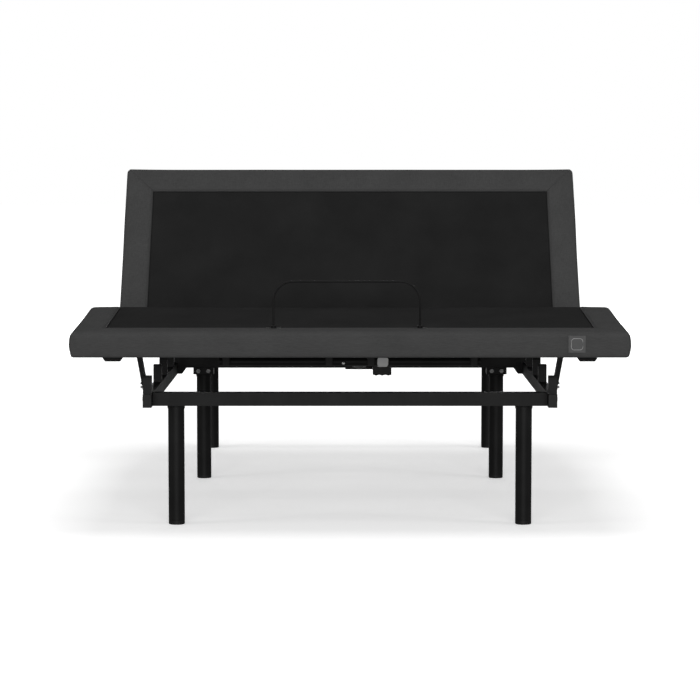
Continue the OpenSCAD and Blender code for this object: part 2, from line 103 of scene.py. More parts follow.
def area_light(name, place, aim, size, power):
    data = bpy.data.lights.new(name, "AREA")
    data.shape = "RECTANGLE"
    data.size, data.size_y = size
    data.energy = power
    light = bpy.data.objects.new(name, data)
    bpy.context.scene.collection.objects.link(light)
    light.location = place
    light.rotation_euler = (Vector(aim) - Vector(place)).to_track_quat("-Z", "Y").to_euler()


def make_world():
    """White where the camera looks past the object, a soft grey for every other ray."""
    world = bpy.data.worlds.new("studio")
    bpy.context.scene.world = world
    world.use_nodes = True
    tree = world.node_tree
    tree.nodes.clear()
    out = tree.nodes.new("ShaderNodeOutputWorld")
    mix = tree.nodes.new("ShaderNodeMixShader")
    path = tree.nodes.new("ShaderNodeLightPath")
    tree.links.new(path.outputs["Is Camera Ray"], mix.inputs[0])
    for socket, strength in ((1, FILL_STRENGTH), (2, 1.0)):
        background = tree.nodes.new("ShaderNodeBackground")
        background.inputs["Color"].default_value = (1, 1, 1, 1)
        background.inputs["Strength"].default_value = strength
        tree.links.new(background.outputs[0], mix.inputs[socket])
    tree.links.new(mix.outputs[0], out.inputs[0])


def make_floor():
    """A pale floor that fades to white away from the object."""
    mesh = bpy.data.meshes.new("floor")
    corners = [(-1, -1), (1, -1), (1, 1), (-1, 1)]
    mesh.from_pydata([(x * FLOOR_HALF, y * FLOOR_HALF, 0) for x, y in corners], [],
                     [(0, 1, 2, 3)])
    floor = bpy.data.objects.new("floor", mesh)
    bpy.context.scene.collection.objects.link(floor)
    material = bpy.data.materials.new("floor_paint")
    material.use_nodes = True
    tree = material.node_tree
    bsdf = tree.nodes["Principled BSDF"]
    bsdf.inputs["Base Color"].default_value = (FLOOR_ALBEDO, FLOOR_ALBEDO, FLOOR_ALBEDO, 1)
    bsdf.inputs["Roughness"].default_value = 0.9
    bsdf.inputs["Specular IOR Level"].default_value = 0.0
    bsdf.inputs["Emission Color"].default_value = (1, 1, 1, 1)
    place = tree.nodes.new("ShaderNodeTexCoord")
    reach = tree.nodes.new("ShaderNodeVectorMath")
    reach.operation = "LENGTH"
    glow = tree.nodes.new("ShaderNodeMapRange")
    glow.inputs["From Min"].default_value = GLOW_STARTS
    glow.inputs["From Max"].default_value = GLOW_IS_WHITE
    glow.inputs["To Min"].default_value = FLOOR_GLOW
    glow.inputs["To Max"].default_value = 1.0
    tree.links.new(place.outputs["Object"], reach.inputs[0])
    tree.links.new(reach.outputs["Value"], glow.inputs["Value"])
    tree.links.new(glow.outputs["Result"], bsdf.inputs["Emission Strength"])
    mesh.materials.append(material)
    floor.visible_glossy = False
    floor.visible_diffuse = False


# ---------------------------------------------------------------------------
# materials
# ---------------------------------------------------------------------------


WEAVE_PITCH = 1.5 * MM
RIB_PITCH, LOOP_PITCH = 1.3 * MM, 0.9 * MM


class Nodes:
    """A material and short names for the nodes put in it."""

    def __init__(self, name, **sockets):
        self.material = bpy.data.materials.new(name)
        self.material.use_nodes = True
        self.tree = self.material.node_tree
        self.bsdf = self.tree.nodes["Principled BSDF"]
        for socket, value in sockets.items():
            self.bsdf.inputs[socket.replace("_", " ")].default_value = value

    def add(self, kind, inputs=None, **settings):
        node = self.tree.nodes.new("ShaderNode" + kind)
        for key, value in settings.items():
            setattr(node, key, value)
        for key, value in (inputs or {}).items():
            if isinstance(value, bpy.types.NodeSocket):
                self.tree.links.new(value, node.inputs[key])
            else:
                node.inputs[key].default_value = value
        return node

    def math(self, operation, a, b=0.0):
        return self.add("Math", {0: a, 1: b}, operation=operation).outputs[0]

    def where(self):
        return self.add("TexCoord").outputs["Object"]

    def noise(self, vector, scale, detail=3.0, rough=0.55):
        node = self.add("TexNoise", {"Vector": vector, "Scale": scale, "Detail": detail,
                                     "Roughness": rough})
        return node.outputs["Fac"]

    def stretched(self, vector, factors):
        return self.add("VectorMath", {0: vector, 1: factors}, operation="MULTIPLY").outputs[0]

    def ramp(self, value, stops):
        node = self.add("ValToRGB", {"Fac": value})
        ramp = node.color_ramp
        while len(ramp.elements) < len(stops):
            ramp.elements.new(0.5)
        for element, (place, color) in zip(ramp.elements, stops):
            element.position = place
            element.color = (*color, 1)
        return node.outputs["Color"]

    def span(self, value, low, high):
        node = self.add("MapRange", {"Value": value, "To Min": low, "To Max": high})
        return node.outputs["Result"]

    def colour(self, output):
        self.tree.links.new(output, self.bsdf.inputs["Base Color"])

    def roughness(self, output):
        self.tree.links.new(output, self.bsdf.inputs["Roughness"])

    def bump(self, height, distance, strength=1.0, below=None):
        inputs = {"Height": height, "Distance": distance, "Strength": strength}
        if below is not None:
            inputs["Normal"] = below
        normal = self.add("Bump", inputs).outputs["Normal"]
        self.tree.links.new(normal, self.bsdf.inputs["Normal"])
        return normal

    def cloth_plane(self):
        """Two coordinates that lie in the cloth on every face: along and across."""
        coord = self.add("TexCoord")
        place = self.add("SeparateXYZ", {0: coord.outputs["Object"]})
        facing = self.add("SeparateXYZ", {0: coord.outputs["Normal"]})
        side = self.math("GREATER_THAN", self.math("ABSOLUTE", facing.outputs["X"]), 0.6)
        flat = self.math("GREATER_THAN", self.math("ABSOLUTE", facing.outputs["Z"]), 0.6)
        x, y, z = (place.outputs[axis] for axis in "XYZ")
        along = self.add("Mix", {"Factor": side, "A": x, "B": y}, data_type="FLOAT").outputs[0]
        across = self.add("Mix", {"Factor": flat, "A": z, "B": y}, data_type="FLOAT").outputs[0]
        return along, across


def grey(value, warm=0.0):
    return (value * (1 + warm), value, value * (1 - warm * 0.6))


def heather_cloth():
    """Plain-weave upholstery cloth with mixed light and dark yarns."""
    n = Nodes("heather_cloth", Roughness=0.95, Sheen_Weight=0.02, Sheen_Roughness=0.5,
              Specular_IOR_Level=0.0)
    along, across = n.cloth_plane()
    thread = 2 * math.pi / WEAVE_PITCH
    warp = n.math("SINE", n.math("MULTIPLY", along, thread))
    weft = n.math("SINE", n.math("MULTIPLY", across, thread))
    weave = n.math("MULTIPLY", warp, weft)
    where = n.where()
    slub_a = n.noise(n.stretched(where, (60, 900, 900)), 1.0, 2.0)
    slub_b = n.noise(n.stretched(where, (900, 60, 900)), 1.0, 2.0)
    slub = n.math("MULTIPLY", n.math("ADD", slub_a, slub_b), 0.5)
    blotch = n.noise(where, 9.0, 3.0)
    tone = n.math("ADD", n.math("MULTIPLY", slub, 0.8), n.math("MULTIPLY", blotch, 0.2))
    tone = n.math("ADD", tone, n.math("MULTIPLY", weave, 0.03))
    n.colour(n.ramp(tone, [(0.34, grey(0.032)), (0.50, grey(0.041)), (0.66, grey(0.051))]))
    cloth = n.math("ADD", weave, n.math("MULTIPLY", slub, 1.6))
    fine = n.bump(cloth, 0.00022, 0.7)
    n.bump(n.noise(where, 14.0, 2.0), 0.004, 0.25, fine)
    return n.material


def black_tricot(name, tone):
    """Matt black warp knit with fine lengthwise ribs."""
    n = Nodes(name, Roughness=0.9, Sheen_Weight=0.01, Sheen_Roughness=0.5,
              Specular_IOR_Level=0.0)
    along, across = n.cloth_plane()
    ribs = n.math("SINE", n.math("MULTIPLY", along, 2 * math.pi / RIB_PITCH))
    loops = n.math("SINE", n.math("MULTIPLY", across, 2 * math.pi / LOOP_PITCH))
    knit = n.math("ADD", ribs, n.math("MULTIPLY", loops, 0.5))
    where = n.where()
    fuzz = n.noise(where, 420.0, 3.0)
    cloudy = n.noise(where, 6.0, 3.0)
    shade = n.math("ADD", n.math("MULTIPLY", fuzz, 0.45), n.math("MULTIPLY", cloudy, 0.55))
    n.colour(n.ramp(shade, [(0.3, grey(tone * 0.78)), (0.7, grey(tone * 1.25))]))
    n.roughness(n.span(fuzz, 0.8, 0.95))
    fine = n.bump(knit, 0.00016, 0.6)
    n.bump(cloudy, 0.003, 0.3, fine)
    return n.material


def powder_coat(name, tone, rough):
    """Satin black powder coat: fine orange peel, worn a little lighter in patches."""
    n = Nodes(name, Roughness=rough, Specular_IOR_Level=0.055)
    where = n.where()
    peel = n.noise(where, 520.0, 2.0)
    patches = n.noise(where, 11.0, 4.0)
    n.colour(n.ramp(patches, [(0.35, grey(tone * 0.85)), (0.7, grey(tone * 1.3))]))
    n.roughness(n.span(n.noise(where, 30.0, 4.0), rough - 0.06, rough + 0.08))
    n.bump(peel, 0.0003, 0.35)
    return n.material


def moulded_plastic(name, tone, rough):
    """Fine-grained plastic with faint flow marks."""
    n = Nodes(name, Roughness=rough, Specular_IOR_Level=0.12)
    where = n.where()
    grain = n.noise(where, 900.0, 2.0)
    flow = n.noise(n.stretched(where, (8, 8, 2)), 1.0, 3.0)
    n.colour(n.ramp(flow, [(0.3, grey(tone * 0.85)), (0.7, grey(tone * 1.2))]))
    n.roughness(n.span(grain, rough - 0.05, rough + 0.1))
    n.bump(grain, 0.0002, 0.5)
    return n.material


def rubber():
    """Matt black rubber, dusty in places."""
    n = Nodes("rubber", Roughness=0.85, Specular_IOR_Level=0.08)
    where = n.where()
    dust = n.noise(where, 60.0, 5.0)
    n.colour(n.ramp(dust, [(0.3, grey(0.005)), (0.75, grey(0.011))]))
    n.bump(n.noise(where, 700.0, 2.0), 0.0003, 0.5)
    return n.material


def stained_board():
    """Underside of the deck: board stained black, with its grain along X."""
    n = Nodes("stained_board", Roughness=0.75, Specular_IOR_Level=0.3)
    where = n.where()
    grain = n.noise(n.stretched(where, (3, 60, 60)), 1.0, 6.0, 0.6)
    pores = n.noise(n.stretched(where, (30, 900, 900)), 1.0, 3.0)
    shade = n.math("ADD", n.math("MULTIPLY", grain, 0.7), n.math("MULTIPLY", pores, 0.3))
    n.colour(n.ramp(shade, [(0.3, grey(0.014, 0.1)), (0.55, grey(0.024, 0.12)),
                            (0.75, grey(0.038, 0.15))]))
    n.roughness(n.span(pores, 0.62, 0.85))
    n.bump(shade, 0.0005, 0.4)
    return n.material


def zinc_plate():
    """Bright zinc with small spangles."""
    n = Nodes("zinc_plate", Metallic=1.0, Roughness=0.32)
    where = n.where()
    spangle = n.add("TexVoronoi", {"Vector": where, "Scale": 260.0}).outputs["Color"]
    tone = n.add("RGBToBW", {0: spangle}).outputs[0]
    n.colour(n.ramp(tone, [(0.0, grey(0.50)), (1.0, grey(0.70))]))
    n.roughness(n.span(n.noise(where, 90.0, 4.0), 0.24, 0.45))
    return n.material


def blackened_bolt():
    """Dark metal with worn, lighter patches, for bolts and the actuators' tubes and rods."""
    n = Nodes("blackened_bolt", Metallic=1.0, Roughness=0.45)
    where = n.where()
    wear = n.noise(where, 160.0, 4.0)
    n.colour(n.ramp(wear, [(0.35, grey(0.05)), (0.7, grey(0.14))]))
    n.roughness(n.span(wear, 0.35, 0.55))
    return n.material


def drawn_aluminium():
    """Aluminium with fine lines along the direction it was drawn in."""
    n = Nodes("drawn_aluminium", Metallic=0.9, Roughness=0.42)
    where = n.where()
    lines = n.noise(n.stretched(where, (900, 12, 900)), 1.0, 3.0)
    n.colour(n.ramp(lines, [(0.3, grey(0.42)), (0.7, grey(0.58))]))
    n.roughness(n.span(lines, 0.36, 0.52))
    n.bump(lines, 0.0002, 0.3)
    return n.material


def badge_face():
    """Smooth dark plastic of the blank badge."""
    n = Nodes("badge_face", Roughness=0.3, Specular_IOR_Level=0.5)
    where = n.where()
    n.colour(n.ramp(n.noise(where, 45.0, 3.0), [(0.3, grey(0.020)), (0.7, grey(0.026))]))
    n.bump(n.noise(where, 1400.0, 2.0), 0.0001, 0.3)
    return n.material


def badge_rim():
    """Mid grey of the badge's raised rim."""
    n = Nodes("badge_rim", Roughness=0.45, Specular_IOR_Level=0.5)
    where = n.where()
    n.colour(n.ramp(n.noise(where, 300.0, 3.0), [(0.3, grey(0.16)), (0.7, grey(0.24))]))
    return n.material


def thread():
    """Dark twisted yarn of seams and stitches."""
    n = Nodes("thread", Roughness=0.9)
    where = n.where()
    twist = n.noise(where, 1500.0, 2.0)
    n.colour(n.ramp(twist, [(0.3, grey(0.008)), (0.7, grey(0.018))]))
    n.bump(twist, 0.0003, 0.6)
    return n.material


MATERIALS = {
    "heather_fabric": heather_cloth(),
    "black_tricot": black_tricot("black_tricot", 0.0124),
    "black_steel": powder_coat("powder_coat", 0.0056, 0.42),
    "plywood": stained_board(),
    "black_plastic": moulded_plastic("black_plastic", 0.0034, 0.5),
    "black_rubber": rubber(),
    "zinc_steel": zinc_plate(),
    "silver_aluminium": drawn_aluminium(),
    "badge_plastic": badge_face(),
}
THREAD = thread()
BLACKENED = blackened_bolt()
# A lighter copy of the black powder coat, used only on the lift arms' front faces: painted light,
# standing in for the light that falls on those faces.
PAINTED_LIGHT_STEEL = powder_coat("painted_light_powder_coat", 0.014, 0.5)

# The record gives these bright slots, and the photo shows nothing bright at their places.
DARKENED_NODES = ("frame_bolts", "thigh_push_rod", "head_push_rod", "thigh_guide_tube",
                  "head_guide_tube")


def paint(piece, material):
    piece.data.materials.clear()
    piece.data.materials.append(material)


def paint_cad_nodes():
    for part in frame["record"]["subparts"]:
        paint(frame["nodes"][part["node"]], MATERIALS[part["material_slot"]])
    for node in DARKENED_NODES:
        paint(frame["nodes"][node], BLACKENED)


# ---------------------------------------------------------------------------
# the sections' own frames
# ---------------------------------------------------------------------------

HINGE_H = 56 * MM            # thigh and head hinge lines above a section's underside
KNEE_H = 6 * MM              # the knee hinge line above it


def joint(name):
    return next(j for j in frame["record"]["behaviour"]["joints"] if j["name"] == name)


def coupling(name):
    return next(c for c in frame["record"]["behaviour"]["couplings"] if c["joint"] == name)


HEAD_ANGLE = -joint("head_lift")["range_deg"][0]
THIGH_ANGLE = -joint("thigh_lift")["range_deg"][0]
FOOT_ANGLE = THIGH_ANGLE * (coupling("knee_fold")["ratio"] - 1)


def section_matrix(hinge, hinge_h, angle, towards_head):
    """Section frame to row frame: Y grows away from the hinge line, Z = 0 is the underside."""
    turn = Matrix.Rotation(math.radians(angle), 4, "X")
    face = Matrix.Identity(4) if towards_head else Matrix.Rotation(math.pi, 4, "Z")
    return Matrix.Translation(hinge) @ turn @ face @ Matrix.Translation((0, 0, -hinge_h))


SECTIONS = {
    "head": (section_matrix(joint("head_lift")["pos_m"], HINGE_H, HEAD_ANGLE, True),
             "head_section"),
    "seat": (section_matrix(joint("thigh_lift")["pos_m"], HINGE_H, 0, True), "chassis"),
    "thigh": (section_matrix(joint("thigh_lift")["pos_m"], HINGE_H, -THIGH_ANGLE, False),
              "thigh_section"),
    "foot": (section_matrix(joint("knee_fold")["pos_m"], KNEE_H, FOOT_ANGLE, False),
             "foot_section"),
}


def corners_in(matrix, node):
    """Lowest and highest corners of a CAD node in the frame that matrix places."""
    inverse = matrix.inverted()
    points = [inverse @ v.co for v in frame["nodes"][node].data.vertices]
    return (Vector([min(p[i] for p in points) for i in range(3)]),
            Vector([max(p[i] for p in points) for i in range(3)]))


# ---------------------------------------------------------------------------
# mesh helpers
# ---------------------------------------------------------------------------


def new_piece(name, bm, material, smooth=True):
    """An object made from a bmesh, which it frees."""
    bmesh.ops.recalc_face_normals(bm, faces=bm.faces)
    mesh = bpy.data.meshes.new(name)
    bm.to_mesh(mesh)
    bm.free()
    for face in mesh.polygons:
        face.use_smooth = smooth
    piece = bpy.data.objects.new(name, mesh)
    bpy.context.scene.collection.objects.link(piece)
    mesh.materials.append(material)
    return piece


def grid_faces(bm, rows, closed):
    """Quads between neighbouring rows of vertices; closed joins each row's ends."""
    count = len(rows[0])
    for a, b in zip(rows, rows[1:]):
        for i in range(count if closed else count - 1):
            j = (i + 1) % count
            bm.faces.new((a[i], a[j], b[j], b[i]))


def cap_ends(bm, rows):
    """Closes both ends of a tube made of rows."""
    bm.faces.new(rows[0])
    bm.faces.new(list(reversed(rows[-1])))


def tube(name, points, radius, material, sides=6):
    """A thin round cord along a path; repeated points are left out."""
    points = [p for i, p in enumerate(points) if i == 0 or (p - points[i - 1]).length > 1e-5]
    turns = [2 * math.pi * k / sides for k in range(sides)]
    circle = [Vector((radius * math.cos(t), radius * math.sin(t), 0)) for t in turns]
    bm = bmesh.new()
    rings = []
    for i, point in enumerate(points):
        ahead = points[min(i + 1, len(points) - 1)] - points[max(i - 1, 0)]
        turn = ahead.to_track_quat("Z", "Y")
        rings.append([bm.verts.new(point + turn @ c) for c in circle])
    grid_faces(bm, rings, True)
    cap_ends(bm, rings)
    return new_piece(name, bm, material)


CLOTH_FRAMES = 20


def inflate(piece, pinned, pressure, cap):
    """Cloth simulation with inner pressure: pinned vertices stay, the rest move cap at most."""
    scene = bpy.context.scene
    start = [v.co.copy() for v in piece.data.vertices]
    group = piece.vertex_groups.new(name="pinned")
    group.add(pinned, 1.0, "REPLACE")
    cloth = piece.modifiers.new("cloth", "CLOTH")
    settings = cloth.settings
    settings.quality = 5
    settings.mass = 0.3
    settings.tension_stiffness = 30
    settings.compression_stiffness = 30
    settings.shear_stiffness = 12
    settings.bending_stiffness = 2.0
    settings.use_pressure = True
    settings.uniform_pressure_force = pressure
    settings.vertex_group_mass = "pinned"
    settings.effector_weights.gravity = 0
    cloth.collision_settings.use_collision = False
    for step in range(1, CLOTH_FRAMES + 1):
        scene.frame_set(step)
    graph = bpy.context.evaluated_depsgraph_get()
    settled = [v.co.copy() for v in piece.evaluated_get(graph).data.vertices]
    piece.modifiers.remove(cloth)
    piece.vertex_groups.clear()
    scene.frame_set(1)
    for vertex, before, after in zip(piece.data.vertices, start, settled):
        move = after - before
        if move.length > cap:
            move *= cap / move.length
        vertex.co = before + move
    piece.data.update()


def subdivide(piece):
    """Replaces a piece's mesh with its one-level smooth subdivision."""
    modifier = piece.modifiers.new("smooth", "SUBSURF")
    modifier.levels = 1
    graph = bpy.context.evaluated_depsgraph_get()
    mesh = bpy.data.meshes.new_from_object(piece.evaluated_get(graph))
    piece.modifiers.remove(modifier)
    old = piece.data
    piece.data = mesh
    bpy.data.meshes.remove(old)


# ---------------------------------------------------------------------------
# padded borders
# ---------------------------------------------------------------------------

BORDER_W = 92                # width seen from above, millimetres
CORNER_R = 12                # plan radius of the outer corners
# Outline of the border's cross section: how far in from the outer edge, and height.
# It runs from the seam beside the middle pad over the top, down the outside and back.
BORDER_TOP = [(92, 66.0), (91, 68.0), (88, 69.3), (80, 70.0), (66, 70.3), (50, 70.3),
              (36, 70.2), (24, 69.9), (15, 69.7), (8.8, 68.8), (4.2, 66.6)]
BORDER_SIDE = [(1.2, 62.6), (-0.4, 57.0), (-1.5, 49.0), (-2.2, 41.0), (-2.5, 34.0),
               (-2.2, 27.0), (-1.4, 20.0), (-0.1, 13.0), (1.5, 7.0), (3.4, 3.2), (6.6, 0.9),
               (12.5, 0.1)]
BORDER_UNDER = [(20, 0.0), (28, 0.2), (29.9, 2.0), (30.0, 20.0), (30.0, 39.0), (30.0, 55.4),
                (60, 55.4), (92, 55.6)]
BORDER_OUTLINE = BORDER_TOP + BORDER_SIDE + BORDER_UNDER
SEAM_POINTS = len(BORDER_TOP) + len(BORDER_SIDE) - 3      # outline points a mitre seam crosses
STEEP_FROM, STEEP_OVER = 7, 4      # the outline turns down over these points
SEAM_DEPTH = 2.6             # how deep the mitre seam sinks
SIDE_SEAM = {"head": 91, "seat": 90, "thigh": 90, "foot": 88}      # outer edge to seam
END_SEAM = {"head": 97, "foot": 102}      # the same at the end of the two end sections
END_INSET_MIN = 1.2          # an end face is flatter than the sides, which bulge past the edge
FOLD_INSET = 30              # the part of the outline nearer the edge than this keeps its shape
END_PLACES = [0, 2.2, 5, 9, 14, 20, 30]   # rows near a strip's end
ROW_STEP, FIRST_ROW_STEP, LAST_ROW_GAP = 18, 15, 8
WRAP_LENGTH, WRAP_DEPTH = 9.0, 5.0        # how the cloth draws in at a hinge end
SWAY_ABOVE, SWAY = 62 * MM, 0.5 * MM      # unevenness of the top, above this height
MITRE_CORD, SEAM_CORD = 0.8 * MM, 1.3 * MM
CORD_HEIGHT, CORD_SHIFT, CORD_STEP = 67.8, -0.4, 40
STITCH_SIZE = (4.2 * MM, 0.9 * MM, 0.8 * MM, 1)
STITCH_HEIGHT, STITCH_SHIFT, STITCH_PITCH, STITCH_MARGIN = 70.0, 5.0, 7.0, 4
SEAM_END_GAP = 8             # from a section's end to where its seam starts


def end_inset(section, inset):
    return max(widen(inset, END_SEAM[section]), END_INSET_MIN)


def widen(inset, width):
    """Moves the inner part of the outline so that the seam is width from the edge."""
    if inset <= FOLD_INSET:
        return inset
    return FOLD_INSET + (inset - FOLD_INSET) * (width - FOLD_INSET) / (BORDER_W - FOLD_INSET)


def stations(length, fine_start):
    """Places of a strip's rows, close together at its end, and at its start if fine_start."""
    start = END_PLACES if fine_start else [0]
    middle = []
    place = start[-1] + FIRST_ROW_STEP
    while place < length - END_PLACES[-1] - LAST_ROW_GAP:
        middle.append(place)
        place += ROW_STEP
    return start + middle + [length - f for f in reversed(END_PLACES)]


def round_corner(a, b):
    """Insets from the two outer edges of a square corner to those of a round one."""
    level = min(a, b)
    if max(a, b) >= CORNER_R:
        return a, b
    radius = CORNER_R - level
    turn = math.radians(45) * (CORNER_R - max(a, b)) / max(radius, 1e-6)
    near, far = CORNER_R - radius * math.cos(turn), CORNER_R - radius * math.sin(turn)
    return (near, far) if a <= b else (far, near)


def end_shrink(distance):
    """How far the outline draws in near the hinge end, where the cloth wraps round."""
    if distance >= WRAP_LENGTH:
        return 0.0
    return WRAP_DEPTH * (1 - math.sqrt(1 - (1 - distance / WRAP_LENGTH) ** 2))


def side_row(section, half, y0, y1, place, length):
    """One row of the long side, as (x, y, z) in millimetres; place runs from 0 to length."""
    share = place / length
    shrink = end_shrink(place)
    row = []
    for inset, height in BORDER_OUTLINE:
        a = widen(inset, SIDE_SEAM[section])
        end = end_inset(section, inset) if section in END_SEAM else 0
        if shrink:
            height -= shrink if height > 60 else 0
            a += shrink if inset < 20 else 0
        b = share * (y1 - end - y0)
        if b < CORNER_R and a < CORNER_R:
            a, b = round_corner(a, b)
        c = y1 - y0 - b
        if end and c < CORNER_R and a < CORNER_R:
            a, c = round_corner(a, c)
            b = y1 - y0 - c
        row.append([half - a, y0 + b, height])
    return row


def sink_seam(rows, middle):
    """Pulls the mitre row in, so that the seam is a real groove."""
    for i in range(SEAM_POINTS):
        steep = min(max((i - STEEP_FROM) / STEEP_OVER, 0), 1)
        depth = SEAM_DEPTH * (0.4 if i < 2 else 1.0)
        point = rows[middle][i]
        away = math.copysign(depth * steep * 0.7, point[0])
        point[0] -= away
        point[1] -= depth * steep * 0.7
        point[2] -= depth * (1 - steep)


def mirrored(rows):
    return [[[-x, y, z] for x, y, z in row] for row in rows]


def ended_border_rows(section, half, y0, y1):
    """Rows of a border up one side, across the far end and down the other, and its mitre rows."""
    length = y1 - y0
    side = [side_row(section, half, y0, y1, p, length) for p in stations(length, True)]
    across = []
    for place in stations(half, False)[-2::-1]:
        share = place / half
        row = []
        for inset, height in BORDER_OUTLINE:
            x = share * (half - widen(inset, SIDE_SEAM[section]))
            a, c = half - x, end_inset(section, inset)
            if a < CORNER_R and c < CORNER_R:
                a, c = round_corner(a, c)
            row.append([half - a, y1 - c, height])
        across.append(row)
    rows = side + across
    sink_seam(rows, len(side) - 1)
    other = mirrored(reversed(rows[:-1]))
    return rows + other, [len(side) - 1, len(rows) + len(other) - len(side)]


def border_bm(row_sets):
    """A bmesh of strips, each closed across and at both ends."""
    bm = bmesh.new()
    for rows in row_sets:
        made = []
        for row in rows:
            made.append([bm.verts.new((x * MM, y * MM, z * MM)) for x, y, z in row])
        grid_faces(bm, made, True)
        cap_ends(bm, made)
    return bm


def open_border_rows(section, half, y0, y1):
    """Rows of a plain side strip whose two ends are alike."""
    length = y1 - y0
    near = [p for p in stations(length / 2, True) if p <= length / 2]
    rows = [side_row(section, half, y0, y1, p, length) for p in near]
    far = [[[x, y1 - (y - y0), z] for x, y, z in row] for row in reversed(rows)]
    return rows + [row for row in far if row[0][1] > rows[-1][0][1] + 1]


def border_pins(piece, seam_rows):
    """The mitre rows, the edge at the middle pad and the underside stay still when inflated."""
    count = len(BORDER_OUTLINE)
    free = range(2, SEAM_POINTS)
    return [v.index for v in piece.data.vertices
            if v.index % count not in free or v.index // count in seam_rows]


def make_border(section):
    """The grey border of a section, with its seams and stitches."""
    node = f"{section}_border"
    low, high = corners_in(SECTIONS[section][0], node)
    half, y0, y1 = high.x / MM, low.y / MM, high.y / MM
    seams = []
    if section in END_SEAM:
        rows, seams = ended_border_rows(section, half, y0, y1)
        sets = [rows]
    else:
        right = open_border_rows(section, half, y0, y1)
        sets = [right, mirrored(right)]
    piece = new_piece(f"{section}_border_cloth", border_bm(sets), MATERIALS["heather_fabric"])
    inflate(piece, border_pins(piece, seams), 1.2, 1.5 * MM)
    for vertex in piece.data.vertices:
        sway = noise.noise(vertex.co * 5 + Vector((section_seed(section), 0, 0)))
        if vertex.co.z > SWAY_ABOVE:
            vertex.co.z += SWAY * sway
    subdivide(piece)
    finish_piece(piece, section)
    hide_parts(node)
    for count, row in enumerate(seams):
        path = [Vector(p) * MM for p in rows[row][1:SEAM_POINTS + 1]]
        seam = tube(f"{section}_mitre_seam_{count + 1}", path, MITRE_CORD, THREAD)
        finish_piece(seam, section)
    make_stitches(section, y0, y1, half)


def finish_piece(piece, section):
    """Puts a piece made in a section's frame in its place and on its body."""
    piece.matrix_world = SECTIONS[section][0]
    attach(piece, SECTIONS[section][1])


def seam_path(section, y0, y1, half, shift=0.0):
    """Corners of the seams beside the middle pad, moved towards the outer edge by shift."""
    x = half - SIDE_SEAM[section] + shift
    if section not in END_SEAM:
        return [[(side * x, y0 + SEAM_END_GAP), (side * x, y1 - SEAM_END_GAP)]
                for side in (-1, 1)]
    far = y1 - END_SEAM[section] + shift
    near = y0 + SEAM_END_GAP
    return [[(-x, near), (-x, far), (x, far), (x, near)]]


def make_stitches(section, y0, y1, half):
    """A row of stitches beside the seam, and a dark cord in the seam."""
    bm = bmesh.new()
    for path in seam_path(section, y0, y1, half, STITCH_SHIFT):
        for (ax, ay), (bx, by) in zip(path, path[1:]):
            start, run = Vector((ax, ay, 0)), Vector((bx - ax, by - ay, 0))
            along = run.normalized()
            turn = along.to_track_quat("X", "Z").to_matrix().to_4x4()
            shape = turn @ Matrix.Diagonal(STITCH_SIZE)
            place = STITCH_MARGIN
            while place < run.length - STITCH_MARGIN:
                middle = (start + along * place) * MM
                middle.z = STITCH_HEIGHT * MM
                bmesh.ops.create_cube(bm, size=1, matrix=Matrix.Translation(middle) @ shape)
                place += STITCH_PITCH
    stitches = new_piece(f"{section}_stitches", bm, THREAD, False)
    finish_piece(stitches, section)
    for count, path in enumerate(seam_path(section, y0, y1, half, CORD_SHIFT)):
        points = []
        for (ax, ay), (bx, by) in zip(path, path[1:]):
            steps = max(2, int(math.hypot(bx - ax, by - ay) / CORD_STEP))
            points += [Vector((ax + (bx - ax) * i / steps, ay + (by - ay) * i / steps,
                               CORD_HEIGHT)) * MM for i in range(steps + 1)]
        cord = tube(f"{section}_seam_cord_{count + 1}", points, SEAM_CORD, THREAD)
        finish_piece(cord, section)


def section_seed(section):
    """Moves each section to its own place in the noise."""
    return 3.7 * list(SECTIONS).index(section)


# ---------------------------------------------------------------------------
# middle pads
# ---------------------------------------------------------------------------


PAD_BOTTOM, PAD_TOP = 55.4 * MM, 68.6 * MM
PAD_RIM = 9 * MM             # width of the rounded edge
PAD_DROP = 0.55              # how far down the rounding goes, as a share of the thickness
PAD_CROWN, CROWN_REACH = 1.4 * MM, 0.12       # rise of the middle, reached this far in
PAD_SWAY = 0.7 * MM
PAD_STEP = 0.022
PAD_EDGE_PLACES = [0, 0.7 * MM, 2 * MM, 4.5 * MM, PAD_RIM]


def make_insert(section):
    """The black middle pad of a section. It is widened to where the border's seams are."""
    node = f"{section}_insert"
    low, high = corners_in(SECTIONS[section][0], node)
    high.x += (BORDER_W - SIDE_SEAM[section]) * MM
    low.x = -high.x
    high.y -= (END_SEAM.get(section, BORDER_W) - BORDER_W) * MM
    x_places = pad_places(low.x, high.x)
    y_places = pad_places(low.y, high.y)
    bm = bmesh.new()
    rows = []
    for y in y_places:
        row = []
        for x in x_places:
            edge = min(x - low.x, high.x - x)
            end = min(y - low.y, high.y - y)
            near = min(edge, end) / PAD_RIM
            drop = 0 if near >= 1 else 1 - math.sqrt(max(0, 1 - (1 - near) ** 2))
            crown = PAD_CROWN * min(1, edge / CROWN_REACH) * min(1, end / CROWN_REACH)
            sway = noise.noise(Vector((x * 4 + section_seed(section), y * 4, 0))) * PAD_SWAY
            height = PAD_TOP - drop * (PAD_TOP - PAD_BOTTOM) * PAD_DROP + crown
            row.append(bm.verts.new((x, y, height + (sway if near >= 1 else 0))))
        rows.append(row)
    grid_faces(bm, rows, False)
    under = [[bm.verts.new((v.co.x, v.co.y, PAD_BOTTOM)) for v in row] for row in rows]
    grid_faces(bm, under, False)
    grid_faces(bm, [around(rows), around(under)], True)
    piece = new_piece(f"{section}_pad_cloth", bm, MATERIALS["black_tricot"])
    pins = [v.index for v in piece.data.vertices
            if v.co.z < PAD_BOTTOM + 0.1 * MM
            or min(v.co.x - low.x, high.x - v.co.x, v.co.y - low.y, high.y - v.co.y) < 2 * MM]
    inflate(piece, pins, 0.6, 1.6 * MM)
    subdivide(piece)
    finish_piece(piece, section)
    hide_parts(node)


